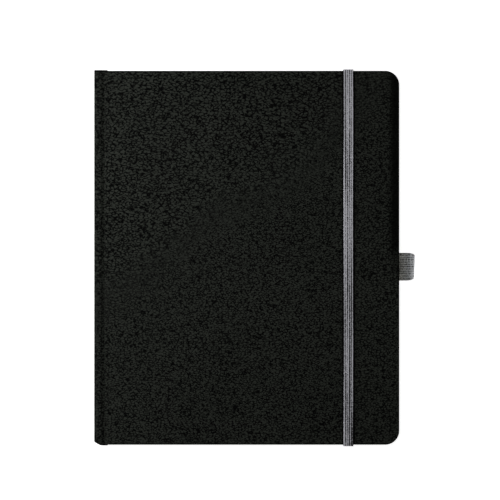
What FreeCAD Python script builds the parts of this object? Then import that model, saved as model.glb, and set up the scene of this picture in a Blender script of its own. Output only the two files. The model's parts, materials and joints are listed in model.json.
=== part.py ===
"""A hardcover sketchbook with an elastic closure band and an elastic pen loop.

It lies on its back cover: the spine is at -X, the fore-edge at +X, the head at +Y, and the front cover faces +Z.
The origin is at the centre of the bottom of the whole object's bounding box. Millimetres.
"""
import FreeCAD
import Part
import os

V = FreeCAD.Vector

# Driving sizes
COVER_WIDTH = 204.0  # spine face to fore-edge
COVER_HEIGHT = 250.0  # head to tail
COVER_CORNER = 9.4  # radius of the fore-edge corners
BOARD = 2.2  # grey board of the covers
LEATHER = 0.5
PAPER = 0.2  # one thickness of an endpaper
SECTIONS = 10
SECTION = 1.15  # one section of folded leaves
SPINE_CARD = 2.0
TURN_IN = 15.0  # leather folded onto the inside of a board
SQUARE = 3.0  # cover beyond the pages at head, tail and fore-edge
PAGE_CORNER = 7.0
SPINE_RISE = 0.5  # spine leather beyond the covers at head and tail
JOINT_STRIP = 7.0  # spine face to the edge of the board's leather
GROOVE_FROM = 4.7  # spine face to the pressed groove
GROOVE_DEPTH = 0.9
GROOVE_SIDE = 0.5  # run of each slope of the groove
BAND_WIDTH = 6.6
BAND = 1.0  # thickness of the closure band
BAND_INSET = 34.0  # fore-edge to the band's centre line
BAND_TAIL = 25.0  # length glued inside the back cover
LOOP_WIDTH = 18.6
LOOP = 0.9  # thickness of the pen loop's elastic
LOOP_BORE = 4.0  # inner radius of the pen loop
LOOP_NECK = 1.2  # fore-edge to the round of the loop
LOOP_OFFSET = -6.0  # loop's centre from the book's middle, towards the tail
LOOP_TAIL = 22.0  # length glued inside the back cover
LOOP_TAIL_HALF = 0.8  # thickness of each glued tail
THREAD = 0.4
STITCHES = 5
STITCH = 0.8  # length of a stitch, as a share of its pitch
GAUZE = 0.3
HEADBAND = 0.8  # radius of the bead
HEADBAND_TAB = 10.0

# Clearances
AIR = 0.05  # between leaves that slide on each other
ENDPAPER_AIR = 0.1
GAUZE_AIR = 0.2  # gauze to the folds of the sections
BAND_AIR = 0.1  # closure band to the covers
LOOP_AIR = 0.3  # moving part of the pen loop to the cover edge
HINGE_AIR = 0.3  # rigid leather to the bending corner
FLOOR_AIR = 0.3  # pen loop above the surface

NEAR = 1e-6  # two places closer than this are the same
PAST = 1.0  # how far a cutting block runs past the solid it cuts

# Heights, from the surface up
COVER = LEATHER + BOARD + LEATHER
FLYLEAF_Z = COVER + PAPER + ENDPAPER_AIR
SECTIONS_Z = FLYLEAF_Z + PAPER + ENDPAPER_AIR
PITCH = SECTION + AIR
PAGES_TOP = SECTIONS_Z + SECTIONS * PITCH - AIR
TOTAL = PAGES_TOP + SECTIONS_Z
MIDDLE_Z = TOTAL / 2
HINGE = (LEATHER + SPINE_CARD + LEATHER) / 2  # spine fold line, from the outer faces of spine and cover

# Places across the book, from the spine face
CARD_X = LEATHER + SPINE_CARD
GAUZE_X = CARD_X + LEATHER
PAGES_X = GAUZE_X + GAUZE + GAUZE_AIR
PAGES_END = COVER_WIDTH - SQUARE
BAND_X = COVER_WIDTH - BAND_INSET
HALF = COVER_HEIGHT / 2
PAGE_HALF = HALF - SQUARE
LOOP_OUTER = LOOP_BORE + LOOP
LOOP_REACH = LOOP_NECK + 2 * LOOP_OUTER  # how far the loop stands out of the fore-edge
LOOP_ROOT = COVER_WIDTH + LOOP_AIR / 2  # end of the glued tails, where the loop flexes

# The book's own numbers start at the spine face, and the finished part is centred on its box.
SHIFT = V(-(COVER_WIDTH + LOOP_REACH) / 2, 0, 0)


def box(x, y, z):
    """A block between the (low, high) pairs x, y and z."""
    return Part.makeBox(x[1] - x[0], y[1] - y[0], z[1] - z[0], V(x[0], y[0], z[0]))


def slab(x, half, z, radius):
    """A plate from x[0] to x[1], half as high again each side of the middle, rounded at its fore-edge corners."""
    plate = box(x, (-half, half), z)
    corners = [
        e for e in plate.Edges
        if abs(e.CenterOfMass.x - x[1]) < NEAR and abs(abs(e.CenterOfMass.y) - half) < NEAR
    ]
    return plate.makeFillet(radius, corners)


def extrude_y(points, y):
    """The outline of (x, z) points as a solid between the heights y."""
    wire = Part.makePolygon([V(px, y[0], pz) for px, pz in points + points[:1]])
    return Part.Face(wire).extrude(V(0, y[1] - y[0], 0))


def front_of(shape):
    """The same piece on the front cover."""
    return shape.mirror(V(0, 0, MIDDLE_Z), V(0, 0, 1))


def merged(shapes):
    return shapes[0].fuse(shapes[1:]).removeSplitter()


def joint_line(lift, start):
    """The pressed joint's line across the book, lifted from the outer face."""
    bottom = GROOVE_FROM + GROOVE_SIDE
    return [
        (start, lift),
        (GROOVE_FROM, lift),
        (bottom, lift + GROOVE_DEPTH),
        (JOINT_STRIP - GROOVE_SIDE, lift + GROOVE_DEPTH),
        (JOINT_STRIP, lift),
    ]


def joint_strip(low, high, y, start):
    """A layer of the joint between two lifts."""
    return extrude_y(joint_line(low, start) + joint_line(high, start)[::-1], y)


def glued_ends():
    """Ends of the closure band, let into the back cover at head and tail."""
    x = (BAND_X - BAND_WIDTH / 2, BAND_X + BAND_WIDTH / 2)
    z = (COVER - BAND, COVER)
    head = box(x, (HALF - BAND_TAIL, HALF + BAND_AIR), z)
    tail = box(x, (-HALF - BAND_AIR, -HALF + BAND_TAIL), z)
    return Part.Compound([head, tail])


def loop_tails():
    """The two layers of the pen loop, let into the back cover at the fore-edge."""
    y = (LOOP_OFFSET - LOOP_WIDTH / 2, LOOP_OFFSET + LOOP_WIDTH / 2)
    return box((COVER_WIDTH - LOOP_TAIL, LOOP_ROOT), y, (COVER - 2 * LOOP_TAIL_HALF, COVER))


def cover_leather():
    """Leather of the back cover: round the board, turned in on three sides, and across the joint."""
    outside = slab((JOINT_STRIP, COVER_WIDTH), HALF, (0, COVER), COVER_CORNER)
    window = box(
        (0, COVER_WIDTH - TURN_IN), (-HALF + TURN_IN, HALF - TURN_IN), (COVER - LEATHER, COVER + PAST)
    )
    wrap = outside.cut(board_blank()).cut(window)
    start = HINGE + HINGE_AIR
    height = (-HALF - SPINE_RISE, HALF + SPINE_RISE)
    strip = joint_strip(0, LEATHER, height, start)
    return merged([wrap, strip])


def board_blank():
    return slab(
        (JOINT_STRIP + LEATHER, COVER_WIDTH - LEATHER), HALF - LEATHER, (LEATHER, LEATHER + BOARD),
        COVER_CORNER - LEATHER,
    )


def endpaper():
    """One folded sheet: a pasted half, a free half and the fold between them."""
    height = PAGE_HALF
    pasted = slab((PAGES_X, PAGES_END), height, (COVER, COVER + PAPER), PAGE_CORNER)
    free = slab((PAGES_X, PAGES_END), height, (FLYLEAF_Z, FLYLEAF_Z + PAPER), PAGE_CORNER)
    fold = box((PAGES_X, PAGES_X + PAPER), (-height, height), (COVER, FLYLEAF_Z + PAPER))
    return merged([pasted, free, fold])


def thread(low):
    """Sewing in the fold of the section that starts at the height low: long stitches inside, short ones outside."""
    centre = low + SECTION / 2
    z = (centre - THREAD / 2, centre + THREAD / 2)
    pitch = 2 * PAGE_HALF / (STITCHES + 1)
    inside = PAGES_X + 2 * THREAD
    runs = []
    for i in range(STITCHES):
        middle = (i - (STITCHES - 1) / 2) * pitch
        y = (middle - pitch * STITCH / 2, middle + pitch * STITCH / 2)
        runs.append(box((inside, inside + THREAD), y, z))
        for end in (y[0], y[1] - THREAD):
            runs.append(box((PAGES_X, inside), (end, end + THREAD), z))
    return Part.Compound([merged(runs[3 * i:3 * i + 3]) for i in range(STITCHES)])


def section(low):
    """A section of folded leaves."""
    leaves = slab((PAGES_X, PAGES_END), PAGE_HALF, (low, low + SECTION), PAGE_CORNER)
    return leaves.cut(thread(low))


def spine_leather():
    """Leather of the spine: its face, round the card at head and tail, and turned in behind it."""
    z = (HINGE + HINGE_AIR, TOTAL - HINGE - HINGE_AIR)
    height = HALF + SPINE_RISE
    whole = box((0, GAUZE_X), (-height, height), z)
    behind = box((CARD_X, GAUZE_X + PAST), (-height + TURN_IN, height - TURN_IN), z)
    return whole.cut(spine_card()).cut(behind)


def spine_card():
    height = HALF + SPINE_RISE - LEATHER
    return box(
        (LEATHER, CARD_X), (-height, height), (HINGE + HINGE_AIR, TOTAL - HINGE - HINGE_AIR)
    )


def joint_corner():
    """The quarter round of leather between the back cover and the spine, about the fold line."""
    axis = V(HINGE, -HALF - SPINE_RISE, HINGE)
    height = COVER_HEIGHT + 2 * SPINE_RISE
    ring = Part.makeCylinder(HINGE, height, axis, V(0, 1, 0))
    ring = ring.cut(Part.makeCylinder(HINGE - LEATHER, height, axis, V(0, 1, 0)))
    quarter = box((0, HINGE), (axis.y - PAST, -axis.y + PAST), (0, HINGE))
    along = box((HINGE, HINGE + HINGE_AIR), (axis.y, -axis.y), (0, LEATHER))
    up = box((0, LEATHER), (axis.y, -axis.y), (HINGE, HINGE + HINGE_AIR))
    return merged([ring.common(quarter), along, up])


def band_bead():
    """The headband: a bead over the folds and a tab glued behind the sections."""
    z = (SECTIONS_Z, PAGES_TOP)
    y = PAGE_HALF + AIR + HEADBAND
    bead = Part.makeCylinder(HEADBAND, z[1] - z[0], V(GAUZE_X + HEADBAND, y, z[0]))
    tab = box((GAUZE_X, GAUZE_X + GAUZE), (PAGE_HALF - HEADBAND_TAB, y), z)
    return merged([bead, tab])


def closure_band():
    """Over the front cover and down past the head and the tail to the back cover."""
    x = (BAND_X - BAND_WIDTH / 2, BAND_X + BAND_WIDTH / 2)
    inner = HALF + BAND_AIR
    top = TOTAL + BAND_AIR
    whole = box(x, (-inner - BAND, inner + BAND), (COVER - BAND, top + BAND))
    edges = [
        e for e in whole.Edges
        if abs(e.CenterOfMass.z - top - BAND) < NEAR and abs(e.CenterOfMass.x - BAND_X) < NEAR
    ]
    whole = whole.makeFillet(BAND, edges)
    return whole.cut(box((x[0] - PAST, x[1] + PAST), (-inner, inner), (0, top)))


def pen_loop():
    """A ring of elastic with a two-layer neck that points at the cover edge."""
    low = LOOP_OFFSET - LOOP_WIDTH / 2
    centre = V(COVER_WIDTH + LOOP_NECK + LOOP_OUTER, low, LOOP_OUTER + FLOOR_AIR)
    neck_z = (COVER - 2 * LOOP_TAIL_HALF, COVER)
    neck = box((LOOP_ROOT + LOOP_AIR, centre.x), (low, low + LOOP_WIDTH), neck_z)
    ring = Part.makeCylinder(LOOP_OUTER, LOOP_WIDTH, centre, V(0, 1, 0)).fuse(neck)
    return ring.cut(Part.makeCylinder(LOOP_BORE, LOOP_WIDTH, centre, V(0, 1, 0))).removeSplitter()


def pieces():
    """Every node's name and shape."""
    lets = [glued_ends(), loop_tails()]
    made = {
        "back_board": board_blank().cut(lets),
        "back_leather": cover_leather().cut(lets),
        "back_endpaper": endpaper(),
        "back_joint_leather": joint_corner(),
        "closure_band_ends": glued_ends(),
        "pen_loop_tabs": loop_tails(),
        "spine_card": spine_card(),
        "spine_leather": spine_leather(),
        "spine_gauze": box(
            (GAUZE_X, GAUZE_X + GAUZE), (HEADBAND_TAB - PAGE_HALF, PAGE_HALF - HEADBAND_TAB),
            (SECTIONS_Z, PAGES_TOP),
        ),
        "headband": band_bead(),
        "tailband": band_bead().mirror(V(0, 0, 0), V(0, 1, 0)),
        "front_board": front_of(board_blank()),
        "front_leather": front_of(cover_leather()),
        "front_endpaper": front_of(endpaper()),
        "front_joint_leather": front_of(joint_corner()),
        "closure_band": closure_band(),
        "pen_loop": pen_loop(),
    }
    for i in range(SECTIONS):
        low = SECTIONS_Z + i * PITCH
        made[f"signature_{i + 1:02d}"] = section(low)
        made[f"thread_{i + 1:02d}"] = thread(low)
    return made


def main():
    os.makedirs("parts", exist_ok=True)
    for name, shape in pieces().items():
        shape.translate(SHIFT)
        shape.exportStep(f"parts/{name}.step")
        print(name, len(shape.Solids), round(shape.Volume, 1), shape.isValid())


main()
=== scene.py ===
import json
import math
import random

import bmesh
import bpy
from bpy.props import FloatProperty, FloatVectorProperty, IntProperty, PointerProperty
from mathutils import Matrix, Vector
from mathutils.geometry import interpolate_bezier


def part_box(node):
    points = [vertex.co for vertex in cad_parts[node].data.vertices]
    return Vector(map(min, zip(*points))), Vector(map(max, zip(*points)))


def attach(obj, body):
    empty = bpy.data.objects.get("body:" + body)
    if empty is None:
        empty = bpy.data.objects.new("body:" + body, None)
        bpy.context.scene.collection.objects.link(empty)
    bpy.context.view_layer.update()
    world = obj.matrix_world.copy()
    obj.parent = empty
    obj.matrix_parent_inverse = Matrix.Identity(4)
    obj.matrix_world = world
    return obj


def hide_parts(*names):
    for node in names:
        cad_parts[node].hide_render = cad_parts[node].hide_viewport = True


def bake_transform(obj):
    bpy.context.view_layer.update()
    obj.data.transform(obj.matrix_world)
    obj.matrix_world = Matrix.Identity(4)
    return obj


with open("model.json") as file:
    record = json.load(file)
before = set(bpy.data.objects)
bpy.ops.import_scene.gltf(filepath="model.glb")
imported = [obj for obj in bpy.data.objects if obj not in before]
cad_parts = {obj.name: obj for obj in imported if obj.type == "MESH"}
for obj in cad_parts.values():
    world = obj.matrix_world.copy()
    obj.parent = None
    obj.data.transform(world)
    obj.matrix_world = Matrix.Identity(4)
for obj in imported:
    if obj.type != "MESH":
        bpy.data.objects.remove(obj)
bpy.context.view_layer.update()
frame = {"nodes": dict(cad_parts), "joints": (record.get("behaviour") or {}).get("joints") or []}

bl_info = {
    "name": "Sketchbook",
    "version": (1, 0, 0),
    "blender": (4, 5, 0),
    "location": "View3D > Sidebar > Sketchbook",
    "description": "A hardcover sketchbook with an elastic closure band and a pen loop",
    "category": "Object",
}

# The book's own sizes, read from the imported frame. Metres.
BOARD_LOW, BOARD_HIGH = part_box("back_board")
BACK_LOW, BACK_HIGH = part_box("back_leather")
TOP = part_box("front_leather")[1].z
MIDDLE_Z = TOP / 2
SPINE_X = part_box("spine_leather")[0].x
SPINE_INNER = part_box("spine_card")[1].x
FORE_X = BACK_HIGH.x
LEATHER = BOARD_LOW.z
COVER = BACK_HIGH.z
HALF = BOARD_HIGH.y + LEATHER
SPINE_HALF = BACK_HIGH.y
BOARD_X = BOARD_LOW.x - LEATHER  # edge of the covered board at the pressed joint
BAND_LOW, BAND_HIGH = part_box("closure_band")
LOOP_LOW, LOOP_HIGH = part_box("pen_loop")
HINGE = next(j for j in frame["joints"] if j["name"] == "spine_fold")["pos_m"]
SECTIONS = sorted(n for n in frame["nodes"] if n.startswith("signature_"))
BAND_X = (BAND_LOW.x + BAND_HIGH.x) / 2
BAND_WIDTH = BAND_HIGH.x - BAND_LOW.x
CORNER = 0.0094  # radius of the covers' fore-edge corners
CARD_COVER = 0.0001  # the sheet stands this far past the spine card
CIRCLE = 0.5523  # handle of a quarter circle's Bezier curve, as a share of its radius
TAIL = 0.004  # length of the spine's ends, where wear and round edges are
SAME = 1e-7  # points nearer than this are one
NEAR = 1e-6
SHARP = 1.0  # radians between faces: above this an edge is a corner


# Finishes


class Wire:
    """A shader socket that takes part in arithmetic."""

    def __init__(self, finish, socket):
        self.finish = finish
        self.socket = socket

    def maths(self, operation, *others, before=None):
        """This socket with others in a Math node; before stands in front of it."""
        values = (self, *others) if before is None else (before, self)
        return self.finish.add("ShaderNodeMath", {"operation": operation}, dict(enumerate(values)))

    def __add__(self, other):
        return self.maths("ADD", other)

    __radd__ = __add__

    def __sub__(self, other):
        return self.maths("SUBTRACT", other)

    def __rsub__(self, other):
        return self.maths("SUBTRACT", before=other)

    def __mul__(self, other):
        return self.maths("MULTIPLY", other)

    __rmul__ = __mul__

    def __pow__(self, other):
        return self.maths("POWER", other)


class Finish:
    """One material under construction."""

    def __init__(self, name):
        self.material = bpy.data.materials.new(name)
        self.material.use_nodes = True
        self.tree = self.material.node_tree
        self.shader = self.tree.nodes["Principled BSDF"]

    def add(self, kind, settings=None, values=None, out=0):
        """A node of this kind, with its settings first, then its sockets' values or links."""
        node = self.tree.nodes.new(kind)
        for key, value in (settings or {}).items():
            setattr(node, key, value)
        for key, value in (values or {}).items():
            self.feed(node.inputs[key], value)
        return Wire(self, node.outputs[out])

    def feed(self, socket, value):
        """Links a wire to a socket, or sets a plain value on it."""
        if isinstance(value, Wire):
            self.tree.links.new(value.socket, socket)
        else:
            socket.default_value = value

    def place(self):
        """The place of a point on the object."""
        return self.add("ShaderNodeTexCoord", out="Object")

    def axes(self, place):
        """The x, y and z of a place."""
        node = self.add("ShaderNodeSeparateXYZ", values={0: place}).socket.node
        return [Wire(self, node.outputs[i]) for i in range(3)]

    def noise(self, place, scale, detail=3.0, warp=0.0):
        """Noise with this many cells to a metre, about 0.5."""
        values = {"Vector": place, "Scale": scale, "Detail": detail, "Distortion": warp}
        return self.add("ShaderNodeTexNoise", values=values)

    def stretched(self, place, shares):
        """The place with each axis taken at its share, which draws a pattern out along it."""
        return self.add("ShaderNodeVectorMath", {"operation": "MULTIPLY"}, {0: place, 1: shares})

    def band(self, value, low, high):
        """0 below low, 1 above high, and smooth between them."""
        return self.add(
            "ShaderNodeMapRange", {"interpolation_type": "SMOOTHSTEP"},
            {"Value": value, "From Min": low, "From Max": high},
        )

    def wave(self, value, pitch):
        """A cosine of this pitch: 1 at 0."""
        return (value * (2 * math.pi / pitch)).maths("COSINE")

    def blend(self, share, first, second):
        """A colour between first and second."""
        return self.add(
            "ShaderNodeMix", {"data_type": "RGBA"}, {0: share, 6: first, 7: second}, out=2
        )

    def relief(self, height, strength, depth):
        """Bumps from a height between 0 and 1; depth is in metres."""
        bump = self.add(
            "ShaderNodeBump", values={"Height": height, "Strength": strength, "Distance": depth}
        )
        self.feed(self.shader.inputs["Normal"], bump)

    def say(self, **values):
        """Sets the shader's sockets, with _ for a space in a socket's name."""
        for key, value in values.items():
            self.feed(self.shader.inputs[key.replace("_", " ")], value)
        return self.material


def rgba(colour, share=1.0):
    """The colour at a share of its brightness."""
    return tuple(c * share for c in colour) + (1.0,)


def leather_finish(colour, grain):
    """Black grained imitation leather: rounded cells, a little longer across the book than along it."""
    wander = 0.001  # how far the creases leave their cells' straight sides
    crease = 0.27  # half of a crease's width, as a share of a cell
    finer = 1.22  # cells to one coarse cell, away from the head and the spine
    f = Finish("grained_leather")
    place = f.place()
    x, y, z = f.axes(place)
    long = f.stretched(place, (0.62, 1.0, 0.8))
    drift = f.add("ShaderNodeTexNoise", values={"Vector": place, "Scale": 500.0, "Detail": 1.0}, out=1)
    shift = f.stretched(drift, (wander, wander, wander))
    bent = f.add("ShaderNodeVectorMath", {"operation": "ADD"}, {0: long, 1: shift})

    def creases(scale):
        """Dark lines between the cells, fainter where a noise is low."""
        cells = {"Vector": bent, "Scale": scale}
        gap = f.add("ShaderNodeTexVoronoi", {"feature": "DISTANCE_TO_EDGE"}, cells)
        line = 1 - f.band(gap, 0.0, crease)
        swell = f.noise(long, scale * 1.3, 1.0, 0.6)
        return (line * f.band(swell, 0.26, 0.58) * 1.40).maths("MINIMUM", 1.0)

    # The grain is larger near the head and the spine, past an uneven slanting line.
    where = f.band(y - x * 0.9 + f.noise(place, 14.0) * 0.12, 0.07, 0.14)
    dark = creases(1 / grain) * where + creases(finer / grain) * (1 - where)
    pores = f.noise(long, 1500.0, 2.0)
    cloud = f.noise(place, 16.0, 2.0)

    # Painted shade along the rim, where the rounded edge turns away: dark from 0.2 mm to 1 mm in from the
    # rounded outline of the cover.
    round_x = (x - (FORE_X - CORNER)).maths("MAXIMUM", 0.0)
    round_y = (y.maths("ABSOLUTE") - (HALF - CORNER)).maths("MAXIMUM", 0.0)
    inset = CORNER - (round_x * round_x + round_y * round_y) ** 0.5
    rim_shade = 1 - f.band(inset.maths("MINIMUM", x - SPINE_X), 0.0002, 0.0010)
    # Painted shadow: a dark line on the leather along each side of the band, where the band shades it.
    beside = (x - BAND_X).maths("ABSOLUTE") - BAND_WIDTH / 2
    line = 1 - f.band((beside - 0.0003).maths("ABSOLUTE"), 0.0003, 0.0007)
    band_shadow = line * f.band(z, COVER, MIDDLE_Z)
    # Painted shade along the fore-edge above the pen loop, where the cover rolls off at its edge.
    fore_edge_shade = f.band(x, FORE_X - 0.0085, FORE_X - 0.0035) * f.band(y, -0.015, 0.015)
    # edge gathers the painted shades of the rim, beside the band and along the fore-edge.
    edge = rim_shade.maths("MAXIMUM", band_shadow).maths("MAXIMUM", fore_edge_shade * 0.9)

    skin = f.blend(cloud, rgba(colour, 1.08), rgba(colour, 1.60))
    tone = f.blend(edge, f.blend(dark, skin, rgba(colour, 0.0)), rgba(colour, 0.03))
    f.relief((1 - dark) * 0.8 + pores * 0.2 + cloud * 0.2, 0.5, 0.00020)
    return f.say(
        Base_Color=tone, Roughness=0.55 + 0.20 * dark + 0.20 * edge, Specular_IOR_Level=0.06,
    )


def elastic_finish(name, colour, across, sides, rib, weave, share, tension, mottle, lift, edge_shade):
    """Elastic between two sides, in ribs along it and a weave that takes a share.

    Tension draws light and dark threads along it, mottle roughens it and lift lightens it. Painted
    shade darkens its two edges, as strongly as hem says.
    """
    f = Finish(name)
    place = f.place()
    axes = f.axes(place)
    low, high = sides
    ribs = 0.5 - f.wave(axes[across] - low, rib) * 0.5
    picks = f.wave(axes[1 - across] + axes[2], weave) * 0.5 + 0.5
    fuzz = f.noise(place, 1100.0, 2.0)
    pulled = (1.0, 0.02, 0.02) if across == 0 else (0.3, 1.0, 0.3)
    streaks = f.noise(f.stretched(place, pulled), 620.0, 1.0)
    knit = ribs * (1 - share) + picks * share
    lit = f.band(knit + lift + (fuzz - 0.5) * mottle + (streaks - 0.5) * tension, 0.0, 1.0)
    inset = (axes[across] - low).maths("MINIMUM", high - axes[across])
    # Painted shade along both edges of the strip.
    shaded_edges = (1 - f.band(inset, 0.0003, 0.0009)) * edge_shade
    f.relief(knit + fuzz * 0.5, 0.7, 0.00018)
    return f.say(
        Base_Color=f.blend(lit * (1 - shaded_edges), rgba(colour, 0.06), rgba(colour, 1.90)),
        Roughness=0.80 + 0.15 * fuzz, Specular_IOR_Level=0.2, Sheen_Weight=0.12, Sheen_Roughness=0.5,
    )


def paper_finish(name, colour, tooth):
    """Drawing paper: a faint tooth and slightly uneven tone."""
    f = Finish(name)
    place = f.place()
    fibre = f.noise(place, 2600.0, 4.0)
    cloud = f.noise(place, 60.0, 3.0)
    f.relief(fibre, tooth, 0.00005)
    tone = f.blend(cloud * 0.5 + fibre * 0.5, rgba(colour, 0.90), rgba(colour, 1.04))
    return f.say(Base_Color=tone, Roughness=0.85 + 0.1 * fibre, Specular_IOR_Level=0.25)


def cloth_finish(name, colour, pitch, open_weave):
    """Woven cloth: threads both ways, dark between them."""
    f = Finish(name)
    place = f.place()
    _, y, z = f.axes(place)
    warp = f.wave(z, pitch) * 0.5 + 0.5
    weft = f.wave(y, pitch) * 0.5 + 0.5
    threads = warp.maths("MAXIMUM", weft)
    fuzz = f.noise(place, 2000.0, 2.0)
    f.relief(threads + fuzz * 0.4, 0.6, 0.00012)
    tone = f.blend(threads * (1 - open_weave) + open_weave * threads ** 3.0, rgba(colour, 0.4), rgba(colour))
    return f.say(Base_Color=tone, Roughness=0.85 + 0.1 * fuzz, Specular_IOR_Level=0.2)


def striped_finish(dark, light, pitch):
    """Headband silk, in two colours wound in turn."""
    f = Finish("headband_silk")
    z = f.axes(f.place())[2]
    wound = f.wave(z, pitch) * 0.5 + 0.5
    tone = f.blend(f.band(wound, 0.35, 0.65), rgba(dark), rgba(light))
    f.relief(wound, 0.5, 0.0001)
    return f.say(Base_Color=tone, Roughness=0.5 + 0.2 * wound)


def grey_board_finish(colour):
    """Grey board, with flecks of recycled fibre."""
    f = Finish("grey_board")
    place = f.place()
    fleck = f.noise(place, 900.0, 4.0)
    f.relief(fleck, 0.4, 0.0001)
    return f.say(
        Base_Color=f.blend(f.band(fleck, 0.35, 0.65), rgba(colour, 0.7), rgba(colour, 1.1)),
        Roughness=0.9 + 0.05 * fleck,
    )


def floor_finish(grey, glow):
    """A near-white studio floor."""
    f = Finish("studio_floor")
    return f.say(
        Base_Color=(grey, grey, grey, 1), Roughness=0.9, Specular_IOR_Level=0.1,
        Emission_Color=(1, 1, 1, 1), Emission_Strength=glow,
    )


# Mesh helpers


def piece(name, bm, material, body, stands_for=(), smooth=0.7):
    """Makes the mesh a named piece that rides on a body."""
    bmesh.ops.remove_doubles(bm, verts=bm.verts, dist=SAME)
    bmesh.ops.recalc_face_normals(bm, faces=bm.faces)
    for face in bm.faces:
        face.smooth = True
    for edge in bm.edges:
        edge.smooth = len(edge.link_faces) == 2 and edge.calc_face_angle(0) < smooth
    mesh = bpy.data.meshes.new(name)
    bm.to_mesh(mesh)
    bm.free()
    mesh.materials.append(material)
    made = bpy.data.objects.new(name, mesh)
    bpy.context.scene.collection.objects.link(made)
    if body:
        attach(made, body)
    if stands_for:
        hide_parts(*stands_for)
    return made


def give(nodes, material):
    """Carried-over nodes get this material."""
    for node in nodes:
        shown = frame["nodes"][node]
        shown.data.materials.clear()
        shown.data.materials.append(material)


def extruded(bm, face, steps):
    """Extrudes a face through each step's matrix, and returns the last face.

    The faces between the first and the last are taken out, so that the shape is one closed wall.
    """
    for step in steps:
        made = bmesh.ops.extrude_face_region(bm, geom=[face])["geom"]
        verts = [g for g in made if isinstance(g, bmesh.types.BMVert)]
        if any(len(edge.link_faces) > 2 for edge in face.edges):
            bmesh.ops.delete(bm, geom=[face], context="FACES_ONLY")
        face = next(g for g in made if isinstance(g, bmesh.types.BMFace))
        bmesh.ops.transform(bm, matrix=step, verts=verts)
    return face


def turned(centre, axis, angle, steps):
    """Equal turns about an axis through a point."""
    there, back = Matrix.Translation(centre), Matrix.Translation(-Vector(centre))
    return [there @ Matrix.Rotation(angle / steps, 4, axis) @ back] * steps


def outline_face(bm, points):
    """One face with these corners."""
    return bm.faces.new([bm.verts.new(p) for p in points])


def rounded(bm, edges, offset, segments):
    """Rounds these edges off."""
    bmesh.ops.bevel(
        bm, geom=edges, offset=offset, segments=segments, profile=0.5, affect="EDGES", material=-1
    )


def absorb(bm, other, name):
    """Adds another shape to this one, and frees it."""
    mesh = bpy.data.meshes.new(name)
    other.to_mesh(mesh)
    other.free()
    bm.from_mesh(mesh)
    bpy.data.meshes.remove(mesh)


def plate(low, high, corner, segments, edge=0.0, edge_segments=0):
    """A plate with round fore-edge corners, and softened edges if edge isn't 0."""
    bm = bmesh.new()
    bmesh.ops.create_cube(bm, size=1.0)
    size = Vector(high) - Vector(low)
    bmesh.ops.scale(bm, vec=size, verts=bm.verts)
    bmesh.ops.translate(bm, vec=(Vector(low) + Vector(high)) / 2, verts=bm.verts)
    upright = [
        e for e in bm.edges
        if all(v.co.x > high[0] - NEAR for v in e.verts) and abs(e.verts[0].co.z - e.verts[1].co.z) > NEAR
    ]
    rounded(bm, upright, corner, segments)
    if edge:
        rims = [
            e for e in bm.edges
            if abs(e.verts[0].co.z - e.verts[1].co.z) < SAME and e.calc_face_angle(0) > SHARP
        ]
        rounded(bm, rims, edge, edge_segments)
    return bm


def flip(bm, height):
    """Turns a back-cover shape into the front cover's."""
    bmesh.ops.scale(bm, vec=(1, 1, -1), verts=bm.verts)
    bmesh.ops.translate(bm, vec=(0, 0, 2 * height), verts=bm.verts)


# The case


def round_joint():
    """Outline of the case across the book: board edge, pressed joint, spine corner, spine."""
    groove = 0.0009  # height of the joint's outside at the board
    lip = 0.0010  # height of the sheet's outside under the board's edge
    flat = 0.0028  # end of the flat strip before the spine's corner
    straight = 0.0025  # start of the spine's flat back, above its corner
    turns = 7
    # How far each point lies past the board's edge, and its height.
    outside = (
        (-0.0020, lip), (-0.0002, lip + 0.0002), (0.0004, lip), (0.0013, groove),
        (0.0017, groove * 0.7), (0.0022, 0.00022), (0.0028, 0.00003),
    )
    inside = (
        (0.0026, LEATHER + 0.0001), (0.0017, groove + LEATHER), (0.0004, lip + LEATHER),
        (-0.0020, lip + LEATHER),
    )
    outer = [(BOARD_X - past, height) for past, height in outside]
    outer.append((SPINE_X + flat, 0.0))
    radius = HINGE[0] - SPINE_X
    for i in range(turns + 1):
        angle = math.radians(270 - 90 * i / turns)
        outer.append((HINGE[0] + radius * math.cos(angle), HINGE[2] + radius * math.sin(angle)))
    outer += [(SPINE_X, HINGE[2] + straight), (SPINE_X, MIDDLE_Z)]
    inner = [
        (SPINE_INNER + CARD_COVER, MIDDLE_Z), (SPINE_INNER + CARD_COVER, HINGE[2] + straight),
        (SPINE_INNER, HINGE[2] + 0.0007), (SPINE_INNER - 0.0004, HINGE[2] - 0.0006),
        (SPINE_X + flat, LEATHER),
    ]
    inner += [(BOARD_X - past, height) for past, height in inside]
    return outer + inner


def worn_tail(bm, depth, reach):
    """The spine's corner at the tail is rubbed round."""
    for v in bm.verts:
        if v.co.y < -HALF + TAIL:
            near = max(0.0, 1 - (v.co.x - SPINE_X) / reach)
            v.co.y += depth * near ** 1.6


def case_half(name, material, stands_for, upper):
    """Leather of one cover, its joint and its half of the spine, which turns round the spine's corner."""
    bm = plate((BOARD_X, -HALF, 0), (FORE_X, HALF, COVER), CORNER, 20, edge=0.0009, edge_segments=5)
    strip = bmesh.new()
    face = outline_face(strip, [(px, -SPINE_HALF, pz) for px, pz in round_joint()])
    pieces = 24
    step = Matrix.Translation((0, 2 * SPINE_HALF / pieces, 0))
    extruded(strip, face, [step] * pieces)
    worn_tail(strip, depth=0.0026, reach=0.0055)
    ends = [
        e for e in strip.edges
        if abs(abs(e.verts[0].co.y) - SPINE_HALF) < TAIL and e.calc_face_angle(0) > SHARP
    ]
    rounded(strip, ends, 0.00015, 2)
    absorb(bm, strip, "strip")
    if upper:
        flip(bm, MIDDLE_Z)
    made = piece(name, bm, material, None, stands_for, smooth=0.9)
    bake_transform(made)
    return made


# Elastic


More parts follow.
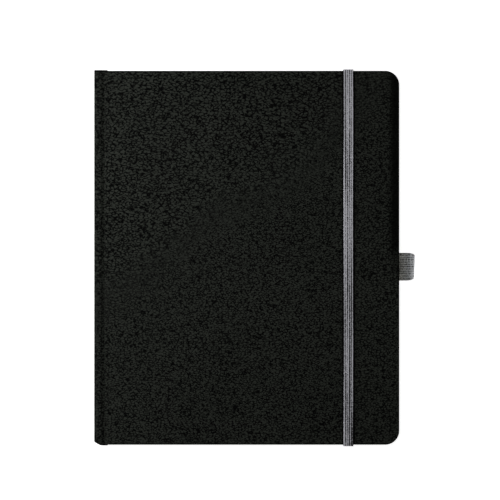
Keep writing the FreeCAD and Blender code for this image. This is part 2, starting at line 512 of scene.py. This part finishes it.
def ribbed_section(width, thick, ribs, depth):
    """Outline across a strip of elastic, (across, out), with ribs on both faces."""
    steps = ribs * 6  # six points to a rib
    top = []
    for i in range(steps + 1):
        share = i / steps
        ridge = abs(math.sin(math.pi * ribs * share)) ** 0.6
        top.append((width * (share - 0.5), thick - depth * (1 - ridge)))
    under = [(a, thick - t) for a, t in top]
    return top + under[::-1]


# Operators


class CaseSizes(bpy.types.PropertyGroup):
    colour: FloatVectorProperty(
        name="Leather", description="Colour of the cover material", subtype="COLOR",
        default=(0.0222, 0.0250, 0.0206),
    )
    grain: FloatProperty(
        name="Grain", description="Length of a coarse cell of the grain", unit="LENGTH", default=0.0016
    )


class PageSizes(bpy.types.PropertyGroup):
    leaves: IntProperty(name="Leaves", description="Leaves in one section", default=8)
    uneven: FloatProperty(
        name="Unevenness", description="How far one leaf stands from the next", unit="LENGTH",
        default=0.00018,
    )
    colour: FloatVectorProperty(
        name="Paper", description="Colour of the paper", subtype="COLOR", default=(0.74, 0.71, 0.635)
    )


class ElasticSizes(bpy.types.PropertyGroup):
    band: FloatVectorProperty(
        name="Band", description="Colour of the closure band", subtype="COLOR",
        default=(0.325, 0.325, 0.349),
    )
    loop: FloatVectorProperty(
        name="Loop", description="Colour of the pen loop", subtype="COLOR",
        default=(0.480, 0.495, 0.505),
    )
    ribs: IntProperty(name="Ribs", description="Ribs along the closure band", default=5)


class StageSizes(bpy.types.PropertyGroup):
    distance: FloatProperty(
        name="Distance", description="Camera above the cover", unit="LENGTH", default=3.0
    )
    across: FloatProperty(
        name="Across", description="Width of the view at the cover", unit="LENGTH", default=0.3342
    )
    floor: FloatProperty(name="Floor", description="Grey of the floor", default=0.92)
    glow: FloatProperty(name="Glow", description="Light that the floor gives off itself", default=0.88)


SIZES = {
    "sketchbook_case": CaseSizes, "sketchbook_pages": PageSizes, "sketchbook_elastic": ElasticSizes,
    "sketchbook_stage": StageSizes,
}


def sizes(context, name):
    return getattr(context.scene, f"sketchbook_{name}")


class SKETCHBOOK_OT_case(bpy.types.Operator):
    """Leather of both covers and the spine"""

    bl_idname = "sketchbook.case"
    bl_label = "Case"

    def execute(self, context):
        s = sizes(context, "case")
        skin = leather_finish(s.colour, s.grain)
        back = ("back_leather", "back_joint_leather", "spine_leather", "spine_card")
        front = ("front_leather", "front_joint_leather")
        case_half("back_case", skin, back, upper=False)
        case_half("front_case", skin, front, upper=True)
        give(["back_board", "front_board"], grey_board_finish((0.30, 0.29, 0.27)))
        return {"FINISHED"}


class SKETCHBOOK_OT_pages(bpy.types.Operator):
    """Sections of leaves, endpapers and sewing"""

    bl_idname = "sketchbook.pages"
    bl_label = "Pages"

    def execute(self, context):
        s = sizes(context, "pages")
        paper = paper_finish("drawing_paper", s.colour, tooth=0.5)
        rand = random.Random(7)
        for node in SECTIONS:
            self.section(node, s, paper, rand)
        smooth_paper = paper_finish("endpaper", (0.72, 0.69, 0.62), tooth=0.3)
        give(["back_endpaper", "front_endpaper"], smooth_paper)
        threads = [n for n in frame["nodes"] if n.startswith("thread_")]
        give(threads, cloth_finish("linen_thread", (0.75, 0.72, 0.64), pitch=0.0004, open_weave=0.0))
        return {"FINISHED"}

    def section(self, node, s, paper, rand):
        """Leaves one above the next, set back at the fold in a half circle, with a gap between two."""
        corner = 0.007
        solid = 0.86  # of a leaf's pitch; the rest is the gap
        low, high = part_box(node)
        thick = (high.z - low.z) / s.leaves
        whole = bmesh.new()
        for i in range(s.leaves):
            off = (i + 0.5) / s.leaves * 2 - 1
            fold = (high.z - low.z) / 2 * (1 - math.sqrt(1 - off * off))
            trim = rand.random() * s.uneven
            ends = rand.random() * s.uneven * 0.5
            z = low.z + i * thick
            tail = (low.x + fold, low.y + ends, z)
            head = (high.x - trim, high.y - ends, z + thick * solid)
            absorb(whole, plate(tail, head, corner, 8), "leaf")
        number = node.split("_")[1]
        piece(f"leaves_{number}", whole, paper, f"section_{number}", (node,), 0.4)


class SKETCHBOOK_OT_lining(bpy.types.Operator):
    """Gauze and headbands behind the sections"""

    bl_idname = "sketchbook.lining"
    bl_label = "Lining"

    def execute(self, context):
        gauze = cloth_finish("open_gauze", (0.62, 0.60, 0.54), pitch=0.0012, open_weave=0.8)
        give(["spine_gauze"], gauze)
        silk = striped_finish((0.012, 0.012, 0.012), (0.45, 0.44, 0.42), pitch=0.0016)
        for node, head in (("headband", 1), ("tailband", -1)):
            self.bead(node, head, silk)
        return {"FINISHED"}

    def bead(self, node, head, silk):
        """A wound bead with a tab behind it; head is 1 at the head and -1 at the tail."""
        tab = 0.0003
        turns = 44
        ridge = 1.05  # every other turn of silk is thicker by this
        low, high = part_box(node)
        radius = (high.x - low.x) / 2
        bm = bmesh.new()
        ring = bmesh.ops.create_circle(bm, cap_ends=True, segments=20, radius=radius)["verts"]
        edge = (high.y if head > 0 else low.y) - head * radius
        bmesh.ops.translate(bm, vec=(low.x + radius, edge, low.z), verts=ring)
        rise = Matrix.Translation((0, 0, (high.z - low.z) / turns))
        face = bm.faces[:][0]
        middle = Vector((low.x + radius, edge, 0))
        there, back = Matrix.Translation(middle), Matrix.Translation(-middle)
        for i in range(turns):
            swell = ridge if i % 2 else 1 / ridge
            face = extruded(bm, face, [rise @ (there @ Matrix.Diagonal((swell, swell, 1, 1)) @ back)])
        near, far = sorted((edge, low.y if head > 0 else high.y))
        strip = bmesh.ops.create_cube(bm, size=1.0)["verts"]
        bmesh.ops.scale(bm, vec=(tab, far - near, high.z - low.z), verts=strip)
        bmesh.ops.translate(
            bm, vec=(low.x + tab / 2, (near + far) / 2, (low.z + high.z) / 2), verts=strip
        )
        piece(f"{node}_silk", bm, silk, "spine", (node,), 0.8)


class SKETCHBOOK_OT_band(bpy.types.Operator):
    """Elastic closure band"""

    bl_idname = "sketchbook.band"
    bl_label = "Closure band"

    def execute(self, context):
        s = sizes(context, "elastic")
        cloth = elastic_finish(
            "ribbed_elastic", s.band, across=0, sides=(BAND_LOW.x, BAND_HIGH.x), rib=BAND_WIDTH / s.ribs,
            weave=0.0013, share=0.12, tension=3.0, mottle=1.6, lift=0.0, edge_shade=0.0,
        )
        give(["closure_band_ends"], cloth)
        outer = BAND_HIGH.y
        thick = outer - HALF - 0.0001  # it clears the cover's edge by 0.1 mm
        bend = 0.0009  # inner radius at the cover's edges
        up, round_edge, along = 8, 8, 60  # steps in each stretch
        inner = outer - thick
        over = inner - bend
        top = BAND_HIGH.z - thick - bend
        bm = bmesh.new()
        section = ribbed_section(BAND_WIDTH, thick, s.ribs, 0.00022)
        face = outline_face(bm, [(BAND_X + a, inner + t, BAND_LOW.z) for a, t in section])
        rise = [Matrix.Translation((0, 0, (top - BAND_LOW.z) / up))] * up
        run = [Matrix.Translation((0, -2 * over / along, 0))] * along
        fall = [Matrix.Translation((0, 0, -(top - BAND_LOW.z) / up))] * up
        face = extruded(bm, face, rise)
        face = extruded(bm, face, turned((0, over, top), "X", math.pi / 2, round_edge))
        face = extruded(bm, face, run)
        face = extruded(bm, face, turned((0, -over, top), "X", math.pi / 2, round_edge))
        extruded(bm, face, fall)
        made = piece("elastic_band", bm, cloth, None, ("closure_band",), 1.3)
        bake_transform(made)
        return {"FINISHED"}


class SKETCHBOOK_OT_loop(bpy.types.Operator):
    """Elastic pen loop"""

    bl_idname = "sketchbook.loop"
    bl_label = "Pen loop"

    def execute(self, context):
        s = sizes(context, "elastic")
        cloth = elastic_finish(
            "knitted_elastic", s.loop, across=1, sides=(LOOP_LOW.y, LOOP_HIGH.y), rib=0.00155,
            weave=0.0015, share=0.35, tension=0.8, mottle=2.6, lift=0.22, edge_shade=0.85,
        )
        give(["pen_loop_tabs"], cloth)
        thick = 0.0009
        radius = (LOOP_HIGH.z - LOOP_LOW.z) / 2 - thick / 2
        centre = Vector((LOOP_HIGH.x - radius - thick / 2, 0, (LOOP_LOW.z + LOOP_HIGH.z) / 2))
        neck = COVER - 0.0008  # height where the two layers leave the cover
        path = self.path(centre, radius, neck, thick)
        middle = (LOOP_LOW.y + LOOP_HIGH.y) / 2
        width = LOOP_HIGH.y - LOOP_LOW.y
        bm = bmesh.new()
        section = ribbed_section(width, thick, 12, 0.00010)
        out = self.side(path[0], path[1])
        face = outline_face(
            bm, [path[0] + out * (t - thick / 2) + Vector((0, middle + a, 0)) for a, t in section]
        )
        heading = math.atan2(out.x, out.z)
        for i in range(1, len(path)):
            a, b = path[i - 1], path[i]
            c = path[i + 1] if i + 1 < len(path) else b + (b - a)
            out = self.side(a, c)
            turn = (math.atan2(out.x, out.z) - heading + math.pi) % (2 * math.pi) - math.pi
            heading += turn
            step = Matrix.Translation(b) @ Matrix.Rotation(turn, 4, "Y") @ Matrix.Translation(-a)
            face = extruded(bm, face, [step])
        self.soften(bm, middle, width / 2)
        made = piece("loop_elastic", bm, cloth, None, ("pen_loop",), 1.3)
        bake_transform(made)
        return {"FINISHED"}

    def side(self, a, b):
        """Outward direction of the strip where it runs from a to b."""
        along = (b - a).normalized()
        return Vector((along.z, 0, -along.x))

    def path(self, centre, radius, neck, thick):
        """Round the pen: out along the lower layer, about the ring and back along the upper layer."""
        root = FORE_X - 0.002
        low, high = neck - thick * 0.5, neck + thick * 0.5
        k = radius * CIRCLE
        x, z = centre.x, centre.z
        # Each curve's start, its two handles and its end, as x and z, and its number of points.
        curves = (
            ((root, low), (FORE_X, low), (x - k * 1.2, z - radius), (x, z - radius), 14),
            ((x, z - radius), (x + k, z - radius), (x + radius, z - k), (x + radius, z), 10),
            ((x + radius, z), (x + radius, z + k), (x + k, z + radius), (x, z + radius), 10),
            (
                (x, z + radius), (x - k * 1.5, z + radius), (x - radius * 1.15, high + 0.0006),
                (root, high), 20,
            ),
        )
        points = []
        for *corners, count in curves:
            handles = [Vector((a, 0, c)) for a, c in corners]
            points += interpolate_bezier(*handles, count)[bool(points):]
        return points

    def soften(self, bm, middle, half):
        """The elastic narrows towards its outer end, rounds its corners and hangs slightly askew."""
        flat = 0.78  # share of its half width before the corners round
        reach = LOOP_HIGH.x - FORE_X
        for v in bm.verts:
            out = max(0.0, (v.co.x - FORE_X) / reach)
            across = (v.co.y - middle) / half
            v.co.y = middle + (v.co.y - middle) * (1 - 0.07 * out ** 6)
            edge = max(0.0, abs(across) - flat) / (1 - flat)
            pull = 0.0012 * (1 - math.sqrt(max(0.0, 1 - edge * edge)))
            slant = 0.0006 * (1 - across) / 2
            v.co.x -= out * pull
            v.co.x -= out * slant


class SKETCHBOOK_OT_stage(bpy.types.Operator):
    """Floor, lights and camera"""

    bl_idname = "sketchbook.stage"
    bl_label = "Stage"

    def execute(self, context):
        s = sizes(context, "stage")
        bm = bmesh.new()
        bmesh.ops.create_grid(bm, x_segments=2, y_segments=2, size=4.0)
        bmesh.ops.translate(bm, vec=(0, 0, -0.0002), verts=bm.verts)
        piece("floor", bm, floor_finish(s.floor, s.glow), None)
        # Place and size in metres, power in watts. All of them face the middle of the book.
        for name, place, size, power in (
            ("left_window", (-0.36, 0.12, 0.34), 0.4, 1.8),
            ("right_fill", (1.6, -0.2, 1.2), 1.6, 1.8),
            ("head_fill", (-0.3, 1.6, 1.2), 1.4, 2.2),
            ("tail_fill", (-0.3, -1.6, 1.2), 1.4, 2.2),
        ):
            self.light(name, place, size, power, context)
        world = bpy.data.worlds.new("studio")
        world.use_nodes = True
        sky = world.node_tree.nodes["Background"].inputs
        sky["Color"].default_value = (1, 1, 1, 1)
        sky["Strength"].default_value = 0.07
        context.scene.world = world
        context.scene.view_settings.view_transform = "Standard"
        self.camera(s, context)
        return {"FINISHED"}

    def light(self, name, place, size, power, context):
        data = bpy.data.lights.new(name, "AREA")
        data.size = size
        data.energy = power
        lamp = bpy.data.objects.new(name, data)
        lamp.location = place
        lamp.visible_camera = False
        lamp.rotation_euler = (-Vector(place)).to_track_quat("-Z", "Y").to_euler()
        context.scene.collection.objects.link(lamp)

    def camera(self, s, context):
        """Straight above the front cover, a little off its middle, with a long lens."""
        data = bpy.data.cameras.new("camera")
        data.sensor_width = 36.0
        data.lens = data.sensor_width * s.distance / s.across
        data.clip_end = 20.0
        eye = bpy.data.objects.new("camera", data)
        eye.location = (-0.0033, 0.0052, TOP + s.distance)
        context.scene.collection.objects.link(eye)
        context.scene.camera = eye


class SKETCHBOOK_PT_panel(bpy.types.Panel):
    """Sizes and pieces of the sketchbook"""

    bl_idname = "SKETCHBOOK_PT_panel"
    bl_label = "Sketchbook"
    bl_space_type = "VIEW_3D"
    bl_region_type = "UI"
    bl_category = "Sketchbook"

    def draw(self, context):
        for name, group in SIZES.items():
            box = self.layout.box()
            for key in group.__annotations__:
                box.prop(getattr(context.scene, name), key)
        for operator in OPERATORS:
            self.layout.operator(operator.bl_idname)


OPERATORS = (
    SKETCHBOOK_OT_case, SKETCHBOOK_OT_pages, SKETCHBOOK_OT_lining, SKETCHBOOK_OT_band,
    SKETCHBOOK_OT_loop, SKETCHBOOK_OT_stage,
)


def register():
    for group in (*SIZES.values(), *OPERATORS, SKETCHBOOK_PT_panel):
        bpy.utils.register_class(group)
    for name, group in SIZES.items():
        setattr(bpy.types.Scene, name, PointerProperty(type=group))


def unregister():
    for name in SIZES:
        delattr(bpy.types.Scene, name)
    for group in (SKETCHBOOK_PT_panel, *OPERATORS[::-1], *list(SIZES.values())[::-1]):
        bpy.utils.unregister_class(group)


def main():
    register()
    bpy.ops.sketchbook.case()
    bpy.ops.sketchbook.pages()
    bpy.ops.sketchbook.lining()
    bpy.ops.sketchbook.band()
    bpy.ops.sketchbook.loop()
    bpy.ops.sketchbook.stage()


if __name__ == "__main__":
    main()
